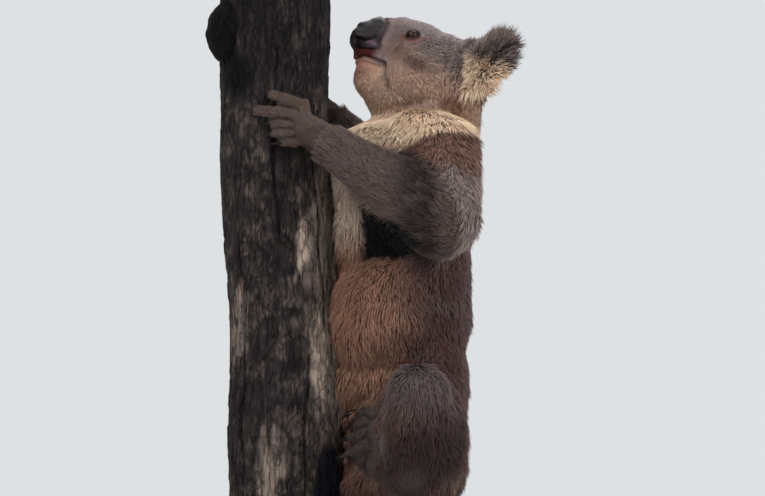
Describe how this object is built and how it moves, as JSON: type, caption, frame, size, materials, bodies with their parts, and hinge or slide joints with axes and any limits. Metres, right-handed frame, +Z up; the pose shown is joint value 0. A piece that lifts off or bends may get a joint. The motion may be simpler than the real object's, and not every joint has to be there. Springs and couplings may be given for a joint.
{
  "type": "animal figure",
  "caption": "Life-size adult koala in profile, hugging a cut length of tree trunk with its head tipped back, held over a flat display base by upright rods.",
  "frame": {"origin": "centre of the trunk's foot, dropped onto the underside of the display base", "axes": "+Z up along the trunk, the animal faces -X towards the trunk, its left side towards -Y"},
  "size_m": [0.4, 0.3126, 0.7],
  "materials": {
    "fur_grey": "dense soft fur, grizzled grey-brown with a cream throat and warm brown belly",
    "nose_leather": "smooth dark skin with a dull sheen",
    "eye": "wet gloss, dark brown",
    "claw": "dark horn, worn smooth",
    "bark": "rough weathered bark, scorched in places, sawn flat at the ends",
    "stand_black": "matt black paint",
    "stand_steel": "brushed"
  },
  "bodies": {
    "root": {"claw_foot_left_2": "claw", "claw_foot_left_3": "claw", "claw_foot_left_4": "claw", "claw_foot_left_5": "claw", "claw_foot_right_2": "claw", "claw_foot_right_3": "claw", "claw_foot_right_4": "claw", "claw_foot_right_5": "claw", "claw_hand_left_1": "claw", "claw_hand_left_2": "claw", "claw_hand_left_3": "claw", "claw_hand_left_4": "claw", "claw_hand_left_5": "claw", "claw_hand_right_1": "claw", "claw_hand_right_2": "claw", "claw_hand_right_3": "claw", "claw_hand_right_4": "claw", "claw_hand_right_5": "claw", "ear_left": "fur_grey", "ear_right": "fur_grey", "eye_left": "eye", "eye_right": "eye", "foot_left": "fur_grey", "foot_right": "fur_grey", "forearm_left": "fur_grey", "forearm_right": "fur_grey", "hand_left": "fur_grey", "hand_right": "fur_grey", "head": "fur_grey", "leg_left": "fur_grey", "leg_right": "fur_grey", "neck": "fur_grey", "nose": "nose_leather", "perch_log": "bark", "stand_base": "stand_black", "stand_rod_1": "stand_steel", "stand_rod_2": "stand_steel", "torso": "fur_grey", "upper_arm_left": "fur_grey", "upper_arm_right": "fur_grey"}
  },
  "joints": []
}
